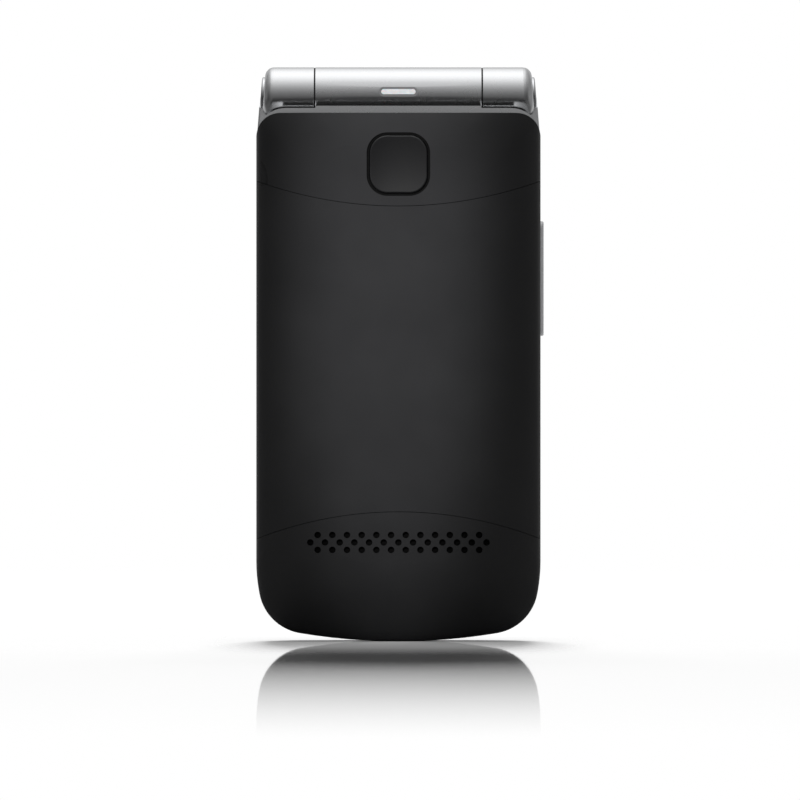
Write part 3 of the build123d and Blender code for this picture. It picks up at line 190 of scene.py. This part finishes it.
def chrome_plated_abs():
    """Plated plastic trim: a bright mirror with very slight ripple."""
    material = new_material("chrome_plated_abs")
    ripple = add_noise(material, 2.5 * mm)
    return finish_material(
        material,
        {"Base Color": colour("#dcdddf"), "Metallic": 1.0},
        {
            "Roughness": add_range(material, ripple, 0.06, 0.12),
            "Normal": add_bump(material, ripple, 0.002 * mm),
        },
    )


def milky_polycarbonate():
    """Translucent light guide: even milky white that glows a little at its edges."""
    material = new_material("milky_polycarbonate")
    haze = add_noise(material, 0.8 * mm)
    return finish_material(
        material,
        {
            "Roughness": 0.22,
            "Subsurface Weight": 0.35,
            "Subsurface Scale": 0.6 * mm,
            "Coat Weight": 0.5,
            "Coat Roughness": 0.08,
        },
        {"Base Color": add_tint(material, haze, "#9c9d9f", "#a9aaac")},
    )


def satin_polycarbonate(name, dark, light, roughness):
    """Painted polycarbonate with a clear top coat: satin, with a thin brighter skin."""
    material = new_material(name)
    orange_peel = add_noise(material, 0.45 * mm)
    return finish_material(
        material,
        {"Specular IOR Level": 0.9, "Coat Weight": 0.35, "Coat Roughness": 0.2},
        {
            "Base Color": add_tint(material, orange_peel, dark, light),
            "Roughness": add_range(material, orange_peel, roughness, roughness + 0.06),
            "Normal": add_bump(material, orange_peel, 0.0012 * mm),
        },
    )


def printing_ink(name, shade):
    """Pad-printed ink: flat and even, slightly rougher than the key under it."""
    material = new_material(name)
    speckle = add_noise(material, 0.1 * mm)
    return finish_material(
        material,
        {"Base Color": colour(shade)},
        {"Roughness": add_range(material, speckle, 0.45, 0.55)},
    )


def moulded_silicone(name, dark, light):
    """Silicone rubber: dull, soft-edged, with a trace of dust."""
    material = new_material(name)
    dust = add_noise(material, 0.6 * mm, 4.0)
    return finish_material(
        material,
        {"Specular IOR Level": 0.35, "Sheen Weight": 0.15, "Sheen Roughness": 0.5},
        {
            "Base Color": add_tint(material, dust, dark, light),
            "Roughness": add_range(material, dust, 0.62, 0.75),
            "Normal": add_bump(material, dust, 0.004 * mm),
        },
    )


def sheet_metal(name, dark, light, roughness, grain):
    """Rolled or turned metal: fine lines along the rolling direction, with a plain metallic sheen."""
    material = new_material(name)
    stretch = add_node(
        material, "Mapping", {"Scale": (1, 1, 0.08)}, {"Vector": add_place(material)}
    ).outputs["Vector"]
    lines = add_node(
        material, "TexNoise", {"Scale": 1 / grain, "Detail": 3.0}, {"Vector": stretch}
    ).outputs["Fac"]
    return finish_material(
        material,
        {"Metallic": 1.0},
        {
            "Base Color": add_tint(material, lines, dark, light),
            "Roughness": add_range(material, lines, roughness, roughness + 0.1),
            "Normal": add_bump(material, lines, 0.002 * mm),
        },
    )


def solder_masked_board():
    """Glass-epoxy board under green solder mask: a glossy skin with faint copper areas below it."""
    material = new_material("solder_masked_board")
    copper = add_node(
        material, "TexVoronoi", {"Scale": 1 / (2.2 * mm), "feature": "DISTANCE_TO_EDGE"},
        {"Vector": add_place(material)},
    ).outputs["Distance"]
    return finish_material(
        material,
        {"Roughness": 0.32, "Coat Weight": 0.4, "Coat Roughness": 0.15},
        {
            "Base Color": add_tint(material, copper, "#0c3a20", "#12502c"),
            "Normal": add_bump(material, copper, 0.01 * mm),
        },
    )


def woven_mesh_cloth():
    """Black speaker cloth: crossed threads 0.25 mm apart with open corners between them."""
    material = new_material("woven_mesh_cloth")
    place = add_place(material)
    threads = []
    for turn in (0, pi / 2):
        turned = add_node(
            material, "Mapping", {"Rotation": (0, turn, 0)}, {"Vector": place}
        ).outputs["Vector"]
        threads.append(
            add_node(
                material,
                "TexWave",
                {"Scale": 2 * pi / (20 * 0.25 * mm), "bands_direction": "X"},
                {"Vector": turned},
            ).outputs["Fac"]
        )
    weave = add_node(
        material, "Math", {"operation": "MAXIMUM"}, {0: threads[0], 1: threads[1]}
    ).outputs["Value"]
    return finish_material(
        material,
        {"Roughness": 0.8, "Specular IOR Level": 0.15, "Sheen Weight": 0.05, "Sheen Roughness": 0.4},
        {
            "Base Color": add_tint(material, weave, "#020202", "#0b0b0b"),
            "Normal": add_bump(material, weave, 0.05 * mm),
        },
    )


def cast_acrylic(name, tint, transmission, roughness):
    """Hard-coated acrylic window: clear or tinted, glossy, with a slightly wavy face."""
    material = new_material(name)
    wave = add_noise(material, 12 * mm, 1.0)
    return finish_material(
        material,
        {
            "Base Color": colour(tint),
            "IOR": 1.49,
            "Transmission Weight": transmission,
            "Roughness": roughness,
            "Coat Weight": 0.6,
            "Coat Roughness": 0.03,
        },
        {"Normal": add_bump(material, wave, 0.004 * mm)},
    )


def display_glass():
    """Switched-off display: near-black glass over a faint grid of cells 0.3 mm apart."""
    material = new_material("display_glass")
    cells = add_node(
        material,
        "TexBrick",
        {
            "Scale": 1 / (0.6 * mm),
            "Color1": colour("#0b0c10"),
            "Color2": colour("#0d0e13"),
            "Mortar": colour("#07070a"),
            "Mortar Size": 0.03,
        },
        {
            "Vector": add_node(
                material, "Mapping", {"Rotation": (pi / 2, 0, 0)}, {"Vector": add_place(material)}
            ).outputs["Vector"]
        },
    ).outputs["Color"]
    return finish_material(
        material,
        {"Roughness": 0.12, "Coat Weight": 1.0, "Coat Roughness": 0.02},
        {"Base Color": cells},
    )


silver_paint = sprayed_silver_paint("sprayed_silver_paint", 1.0)
pale_silver_paint = sprayed_silver_paint("pale_silver_paint", 0.3)
shell_abs = spark_textured_black_abs("spark_textured_black_abs", "#1b1b1c", "#1f1f20", 0.42, 0.005 * mm)
fascia_abs = spark_textured_black_abs("satin_dark_grey_abs", "#232426", "#292a2c", 0.38, 0.004 * mm)
component_abs = spark_textured_black_abs("moulded_black_nylon", "#101011", "#161617", 0.55, 0.006 * mm)
wrapper_film = spark_textured_black_abs("grey_polyester_wrapper", "#2c2f33", "#34373c", 0.4, 0.003 * mm)
sos_paint = satin_polycarbonate("satin_black_key_cap", "#050506", "#070708", 0.2)
key_paint = satin_polycarbonate("satin_charcoal_key_cap", "#1a1b1d", "#202124", 0.32)
amber_film = satin_polycarbonate("amber_polyimide_film", "#8a4a10", "#9c5814", 0.35)
chrome = chrome_plated_abs()
light_guide = milky_polycarbonate()
black_silicone = moulded_silicone("black_silicone", "#161616", "#1e1e1e")
# near-black foam for the ring in the emergency key's groove, which is painted shade
dark_shade_rubber = moulded_silicone("black_shade_ring_foam", "#050505", "#080808")
tin_plate = sheet_metal("tin_plated_steel", "#b4b5b2", "#c6c7c4", 0.28, 0.2 * mm)
dome_steel = sheet_metal("nickel_plated_domes", "#c2c2bd", "#d0d0cb", 0.2, 0.15 * mm)
turned_steel = sheet_metal("turned_steel", "#8f9092", "#a5a6a7", 0.3, 0.12 * mm)
gold_plate = sheet_metal("gold_plated_contact", "#c79a4a", "#d8ad5c", 0.25, 0.2 * mm)
board_mask = solder_masked_board()
mesh_cloth = woven_mesh_cloth()
clear_window = cast_acrylic("clear_acrylic", "#f4f6f6", 1.0, 0.02)
smoked_window = cast_acrylic("smoked_acrylic", "#26272b", 0.75, 0.03)
display = display_glass()
white_ink = printing_ink("white_pad_print", "#e8e9ea")
green_ink = printing_ink("green_pad_print", "#2fae4a")
red_ink = printing_ink("red_pad_print", "#d23a32")

finish_of = {
    "base_frame": silver_paint,
    "lid_frame": silver_paint,
    "volume_rocker": pale_silver_paint,
    "rear_housing": shell_abs,
    "battery_cover": shell_abs,
    "lid_cover": shell_abs,
    "sos_key": sos_paint,
    "hinge_caps": chrome,
    "camera_ring": chrome,
    "indicator_lens": light_guide,
    "keypad_fascia": fascia_abs,
    "lid_inner_panel": fascia_abs,
    "key_mat": black_silicone,
    "bumpers": black_silicone,
    "dome_sheet": dome_steel,
    "shield_cans": tin_plate,
    "usb_socket": tin_plate,
    "vibration_motor": tin_plate,
    "card_holders": tin_plate,
    "sos_switch": tin_plate,
    "lid_magnet": tin_plate,
    "base_screws": turned_steel,
    "lid_screws": turned_steel,
    "hinge_shaft": turned_steel,
    "hinge_cam_unit": turned_steel,
    "hinge_pin": turned_steel,
    "main_board": board_mask,
    "lid_board": board_mask,
    "loudspeaker": component_abs,
    "earpiece": component_abs,
    "microphone": component_abs,
    "hall_sensor": component_abs,
    "camera_module": component_abs,
    "battery_connector": component_abs,
    "side_switches": component_abs,
    "battery": wrapper_film,
    "speaker_mesh": mesh_cloth,
    "antenna": gold_plate,
    "main_window": clear_window,
    "outer_window": smoked_window,
    "main_display": display,
    "outer_display": display,
    "hinge_flex": amber_film,
}
for name, solid in frame["nodes"].items():
    solid.data.materials.clear()
    solid.data.materials.append(finish_of.get(name, key_paint))


# ---------------------------------------------------------------- pieces
bodies = frame["record"]["behaviour"]["bodies"]
joints = frame["record"]["behaviour"]["joints"]


def body_of(node):
    return next(body for body, members in bodies.items() if node in members)


def new_piece(name, shape, finish, body):
    """Makes an object of a finished bmesh, gives it its finish and lets it ride on a body."""
    mesh = bpy.data.meshes.new(name)
    shape.to_mesh(mesh)
    shape.free()
    mesh.materials.append(finish)
    piece = bpy.data.objects.new(name, mesh)
    bpy.context.scene.collection.objects.link(piece)
    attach(piece, body)
    return piece


# ---------------------------------------------------------------- smooth stand-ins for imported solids
weld_distance = 0.0005 * mm
crease_angle = radians(25)


def smooth_stand_in(node):
    """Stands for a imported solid: its loose triangles are joined, so that its curves shade smoothly and
    only edges sharper than the crease angle show."""
    shape = bmesh.new()
    shape.from_mesh(frame["nodes"][node].data)
    bmesh.ops.remove_doubles(shape, verts=shape.verts, dist=weld_distance)
    bmesh.ops.recalc_face_normals(shape, faces=shape.faces)
    for face in shape.faces:
        face.smooth = True
    piece = new_piece(node + "_skin", shape, finish_of[node], body_of(node))
    piece.data.set_sharp_from_angle(angle=crease_angle)
    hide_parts(node)


for node in ("hinge_caps", "indicator_lens"):
    smooth_stand_in(node)

# ---------------------------------------------------------------- hinge washers, painted shade
# Thin dark nylon rings over the collars, in the gaps between the middle knuckle and the outer ones: painted
# shade, so that the gaps read as dark lines.
_, hinge_y, hinge_z = next(joint["pos_m"] for joint in joints if joint["name"] == "lid_hinge")
collar_radius = 4.3 * mm
washer_radius = 4.5 * mm
washer_start, washer_end = 15.22 * mm, 15.48 * mm
washer_steps = 64

washers = bmesh.new()
for side in (-1, 1):
    profile = [
        washers.verts.new((side * x, hinge_y, hinge_z + radius))
        for x, radius in (
            (washer_start, collar_radius),
            (washer_end, collar_radius),
            (washer_end, washer_radius),
            (washer_start, washer_radius),
        )
    ]
    section = washers.faces.new(profile)
    bmesh.ops.spin(
        washers,
        geom=[section, *section.edges],
        cent=(0, hinge_y, hinge_z),
        axis=(1, 0, 0),
        angle=2 * pi,
        steps=washer_steps,
        use_merge=True,
    )
bmesh.ops.recalc_face_normals(washers, faces=washers.faces)
# painted shade: dark rings where the shade of the knuckle gaps falls
new_piece("hinge_shade_washers", washers, component_abs, "base")

# ---------------------------------------------------------------- emergency key's shade ring
# A near-black rubber loop in the groove around the key, over the key's flange: painted shade, so that the
# groove reads dark.
sos_z = 87.2 * mm
seal_face_y = -8.15 * mm
seal_thickness = 0.22 * mm
seal_outer_width, seal_outer_corner = 11.56 * mm, 3.78 * mm
seal_inner_width, seal_inner_corner = 10.74 * mm, 3.37 * mm


def rounded_loop(shape, place, width, corner):
    """Edges of a rounded square, which faces along Y."""
    flat = bmesh.ops.create_grid(
        shape,
        x_segments=1,
        y_segments=1,
        size=width / 2,
        matrix=Matrix.Translation(place) @ Matrix.Rotation(pi / 2, 4, "X"),
    )
    bmesh.ops.bevel(
        shape,
        geom=flat["verts"],
        offset=corner,
        segments=10,
        profile=0.5,
        affect="VERTICES",
        material=-1,
    )


seal = bmesh.new()
seal_place = (0, seal_face_y, sos_z)
rounded_loop(seal, seal_place, seal_outer_width, seal_outer_corner)
rounded_loop(seal, seal_place, seal_inner_width, seal_inner_corner)
bmesh.ops.delete(seal, geom=seal.faces[:], context="FACES_ONLY")
seal_rim = bmesh.ops.bridge_loops(seal, edges=seal.edges[:])["faces"]
raised = bmesh.ops.extrude_face_region(seal, geom=seal_rim)["geom"]
raised_points = [item for item in raised if isinstance(item, bmesh.types.BMVert)]
bmesh.ops.translate(seal, verts=raised_points, vec=(0, seal_thickness, 0))
bmesh.ops.recalc_face_normals(seal, faces=seal.faces)
new_piece("sos_shade_ring", seal, dark_shade_rubber, "base")

# ---------------------------------------------------------------- painted shade strips
# Black strips in the groove under the barrel, as painted shade: they darken the groove and what the barrel's
# underside mirrors of it. One lies on the knuckle's neck and one each side on the rim.
# The rim's strips end where the rim starts to curve down to the phone's side.
strip_back_y = -3.5 * mm
strip_thickness = 0.04 * mm
strip_lift = 0.01 * mm  # the strip's middle above the face that carries it
neck_face_z, neck_strip_length, neck_strip_depth = 98.0 * mm, 30.2 * mm, 1.6 * mm
rim_face_z, rim_strip_length, rim_strip_depth = 97.6 * mm, 5.8 * mm, 1.3 * mm
rim_strip_x = 18.3 * mm

strips = bmesh.new()
for x, face_z, length, depth in (
    (0, neck_face_z, neck_strip_length, neck_strip_depth),
    (-rim_strip_x, rim_face_z, rim_strip_length, rim_strip_depth),
    (rim_strip_x, rim_face_z, rim_strip_length, rim_strip_depth),
):
    place = Matrix.Translation((x, strip_back_y + depth / 2, face_z + strip_lift))
    size = Matrix.Diagonal((length, depth, strip_thickness, 1))
    bmesh.ops.create_cube(strips, size=1, matrix=place @ size)
# painted shade: black sheets laid where the groove's shade falls
new_piece("painted_shade_strips", strips, black_silicone, "base")

# ---------------------------------------------------------------- printed key legends
# They face the lid and are read from its side, so that their right is towards -X.
key_face_y = 1.7 * mm
ink_thickness = 0.02 * mm
numeral_size = 6.2 * mm
glyph_weld = 0.0001 * mm
left_column_x = 15.27 * mm
column_places = (left_column_x, 0.0, -left_column_x)
number_rows = {55.0 * mm: "123", 41.7 * mm: "456", 28.4 * mm: "789", 15.06 * mm: "*0#"}
handset_row_z = 68.6 * mm
nav_z = 75.55 * mm
soft_row_z = 82.5 * mm


def facing_lid(x, z):
    """Places a flat print, drawn with its own X to the right and Y up, on the keys' faces."""
    axes = Matrix(((-1, 0, 0), (0, 0, 1), (0, 1, 0)))
    return Matrix.Translation((x, key_face_y, z)) @ axes.to_4x4()


def print_text(name, text, x, z, size, ink, body):
    """One flat character on a key, centred, as a thin layer of ink."""
    curve = bpy.data.curves.new(name, "FONT")
    curve.body = text
    curve.size = size
    curve.extrude = ink_thickness
    curve.align_x = "CENTER"
    holder = bpy.data.objects.new(name, curve)
    bpy.context.scene.collection.objects.link(holder)
    bpy.context.view_layer.update()
    flat = bpy.data.meshes.new_from_object(holder)
    bpy.data.objects.remove(holder)
    shape = bmesh.new()
    shape.from_mesh(flat)
    bpy.data.meshes.remove(flat)
    reach = [vertex.co.y for vertex in shape.verts]
    bmesh.ops.translate(shape, verts=shape.verts, vec=(0, -(min(reach) + max(reach)) / 2, 0))
    bmesh.ops.transform(shape, verts=shape.verts, matrix=facing_lid(x, z))
    bmesh.ops.remove_doubles(shape, verts=shape.verts, dist=glyph_weld)
    bmesh.ops.recalc_face_normals(shape, faces=shape.faces)
    new_piece(name, shape, ink, body)


def print_bars(key, bars, x, z, ink):
    """Plain marks on a key: bars given as (right, up, width, height, turn), as thin layers of ink."""
    shape = bmesh.new()
    for right, up, width, height, turn in bars:
        place = Matrix.Translation((right, up, 0)) @ Matrix.Rotation(radians(turn), 4, "Z")
        size = Matrix.Diagonal((width, height, 2 * ink_thickness, 1))
        bmesh.ops.create_cube(shape, size=1, matrix=facing_lid(x, z) @ place @ size)
    new_piece(key + "_legend", shape, ink, body_of(key))


name_of = {"*": "key_star", "#": "key_hash"}
for z, characters in number_rows.items():
    for x, character in zip(column_places, characters):
        key = name_of.get(character, f"key_{character}")
        print_text(key + "_legend", character, x, z, numeral_size, white_ink, body_of(key))

# a laid-down handset on the end key and a lifted one on the call key, both as a bow of short bars
bow_reach, bow_rise, bow_bar, bow_turn = 2.6 * mm, 0.9 * mm, 0.8 * mm, 36
ear_drop, ear_width, ear_height = 0.35 * mm, 1.2 * mm, 1.6 * mm
bow_bars = 11
handset_drop = 0.3 * mm
lifted_scale = 0.9
steps = [(index - bow_bars // 2) / (bow_bars // 2 + 1) for index in range(bow_bars)]
bow = [(bow_reach * step, bow_rise * (1 - step * step), bow_bar, bow_bar, -bow_turn * step) for step in steps]
ears = [(side * bow_reach, -ear_drop, ear_width, ear_height, -side * bow_turn) for side in (-1, 1)]
handset = [(right, up - handset_drop, width, height, turn) for right, up, width, height, turn in bow + ears]
lifted = [
    (-up * lifted_scale, right * lifted_scale, height, width, turn)
    for right, up, width, height, turn in handset
]
print_bars("end_key", handset, -left_column_x, handset_row_z, red_ink)
print_bars("call_key", lifted, left_column_x, handset_row_z, green_ink)

dash = [(0, 0, 4.2 * mm, 0.7 * mm, 0)]
print_bars("left_soft_key", dash, left_column_x, soft_row_z, white_ink)
print_bars("right_soft_key", dash, -left_column_x, soft_row_z, white_ink)

# chevrons near the rocker's upper and lower ends
arm_x, arm_length, arm_width, arm_turn = 0.75 * mm, 2.3 * mm, 0.6 * mm, 40
chevron_up = 9.5 * mm
nav_marks = [
    (side * arm_x, way * chevron_up, arm_length, arm_width, -side * way * arm_turn)
    for way in (1, -1)
    for side in (-1, 1)
]
print_bars("nav_rocker", nav_marks, 0, nav_z, white_ink)


# ---------------------------------------------------------------- floor
def studio_floor():
    """Smooth pale floor around the phone. Its gloss is strongest a little in front of the foot and dies
    away towards the viewer. It ends in a circle for what mirrors it or is lit by it, and what is seen
    of it ends sooner beside the phone, so that the shadow stays compact. To the phone's own gloss it is
    painted dark, a painted dark reflection, so that the underside of each curve stays dark."""
    material = new_material("studio_floor")
    place = add_place(material)
    path = add_node(material, "LightPath")
    seen = path.outputs["Is Camera Ray"]

    forward = add_node(material, "SeparateXYZ", links={"Vector": place}).outputs["Y"]
    away = add_node(
        material, "MapRange", {"From Min": -0.58, "From Max": -0.15}, {"Value": forward}
    ).outputs["Result"]
    far = add_math(material, "POWER", away, 1.4)
    near = add_fade(material, forward, -0.12, -0.02, 1.0, 0.12)
    gloss = add_math(material, "MULTIPLY", add_math(material, "MINIMUM", far, near), seen)

    white = add_node(material, "BsdfDiffuse", {"Color": colour("#f7f7f7")}).outputs["BSDF"]
    # painted dark reflection: the floor is grey only where the phone's gloss sees it
    painted_dark_reflection = add_node(material, "BsdfDiffuse", {"Color": colour("#5a5a5a")}).outputs["BSDF"]
    in_gloss = path.outputs["Is Glossy Ray"]
    matt = add_node(material, "MixShader", links={0: in_gloss, 1: white, 2: painted_dark_reflection}).outputs["Shader"]
    polished = add_node(
        material, "BsdfPrincipled", {"Base Color": colour("#f7f7f7"), "Roughness": 0.02, "IOR": 1.52}
    ).outputs["BSDF"]
    clear = add_node(material, "BsdfTransparent").outputs["BSDF"]

    reach = add_node(material, "VectorMath", {"operation": "LENGTH"}, {0: place}).outputs["Value"]
    oval = add_node(
        material, "VectorMath", {"operation": "MULTIPLY", 1: (3.0, 0.5, 1.0)}, {0: place}
    ).outputs["Vector"]
    oval_reach = add_node(material, "VectorMath", {"operation": "LENGTH"}, {0: oval}).outputs["Value"]
    round_edge = add_fade(material, reach, 0.12, 0.24, 0.0, 1.0)
    oval_edge = add_fade(material, oval_reach, 0.06, 0.12, 0.0, 1.0)
    seen_edge = add_math(material, "MULTIPLY", oval_edge, seen)
    edge = add_math(material, "MAXIMUM", round_edge, seen_edge)
    base = add_node(material, "MixShader", links={0: edge, 1: matt, 2: clear}).outputs["Shader"]
    shown = add_node(material, "MixShader", links={0: gloss, 1: base, 2: polished}).outputs["Shader"]
    add_node(material, "OutputMaterial", links={"Surface": shown})
    return material


floor_half_width = 0.8
floor_shape = bmesh.new()
bmesh.ops.create_grid(floor_shape, x_segments=1, y_segments=1, size=floor_half_width)
floor_mesh = bpy.data.meshes.new("floor")
floor_shape.to_mesh(floor_mesh)
floor_shape.free()
floor_mesh.materials.append(studio_floor())
floor = bpy.data.objects.new("floor", floor_mesh)
bpy.context.scene.collection.objects.link(floor)

# ---------------------------------------------------------------- world
# The world is white to the eye, and through glass. What shines in the phone is a studio that is white
# behind and above, and falls off towards the floor in front and the room's sides.
world = bpy.data.worlds.new("studio")
world.use_nodes = True
world.node_tree.nodes.clear()
bpy.context.scene.world = world
path = add_node(world, "LightPath")
direction = add_node(
    world, "SeparateXYZ", links={"Vector": add_node(world, "TexCoord").outputs["Generated"]}
)

# in front of the phone: brighter with height and dimmer away from the middle, with walls at the sides
height = add_math(world, "MULTIPLY", add_math(world, "POWER", 5.9, direction.outputs["Z"]), 0.25)
from_left = add_math(world, "ADD", direction.outputs["X"], 0.1)
sideways = add_node(world, "Math", {"operation": "ABSOLUTE"}, {0: from_left}).outputs["Value"]
side_level = add_fade(world, sideways, 0.1, 0.6, 1.0, 0.45)
side_walls = add_fade(world, sideways, 0.7, 1.0, 0.0, 0.25)
front = add_math(world, "MAXIMUM", add_math(world, "MULTIPLY", height, side_level), side_walls)

# behind it: half bright, and white straight behind
behind = add_fade(world, direction.outputs["Y"], 0.2, 0.8, 0.0, 0.5)
far_wall = add_fade(world, direction.outputs["Y"], 0.95, 0.99, 0.0, 1.0)
shine = add_math(world, "MAXIMUM", add_math(world, "MAXIMUM", front, behind), far_wall)

shine_seen = add_math(world, "MULTIPLY", path.outputs["Is Glossy Ray"], shine)
straight = add_math(world, "MAXIMUM", path.outputs["Is Camera Ray"], path.outputs["Is Transmission Ray"])
ambient = add_math(world, "MULTIPLY", path.outputs["Is Diffuse Ray"], 0.36)
strength = add_math(world, "MAXIMUM", add_math(world, "MAXIMUM", straight, shine_seen), ambient)
background = add_node(world, "Background", {"Color": colour("#ffffff")}, {"Strength": strength})
add_node(world, "OutputWorld", links={"Surface": background.outputs["Background"]})


# ---------------------------------------------------------------- lamps
def place_lamp(lamp_data, place, aim):
    """Hangs a lamp in the studio, facing a point. It lights what is matt, and isn't seen in gloss."""
    lamp = bpy.data.objects.new(lamp_data.name, lamp_data)
    lamp.location = place
    lamp.rotation_euler = (Vector(aim) - Vector(place)).to_track_quat("-Z", "Y").to_euler()
    lamp.visible_glossy = False
    bpy.context.scene.collection.objects.link(lamp)
    return lamp


# a broad softbox high behind the phone throws its soft shadow forwards
key_data = bpy.data.lights.new("key_behind", "AREA")
key_data.shape = "RECTANGLE"
key_data.size = 0.32
key_data.size_y = 0.26
key_data.energy = 17.0
place_lamp(key_data, (0, 0.95, 0.55), (0, 0, 0.05))

# a narrow upright cone from in front, a little to the upper left, shows the crown of the back
back_data = bpy.data.lights.new("back_spot", "SPOT")
back_data.spot_size = radians(30)
back_data.spot_blend = 1.0
back_data.shadow_soft_size = 0.005
back_data.energy = 7.6
back_spot = place_lamp(back_data, (-0.03, -0.3, 0.11), (-0.001, 0, 0.067))
back_spot.scale = (0.29, 1, 1)
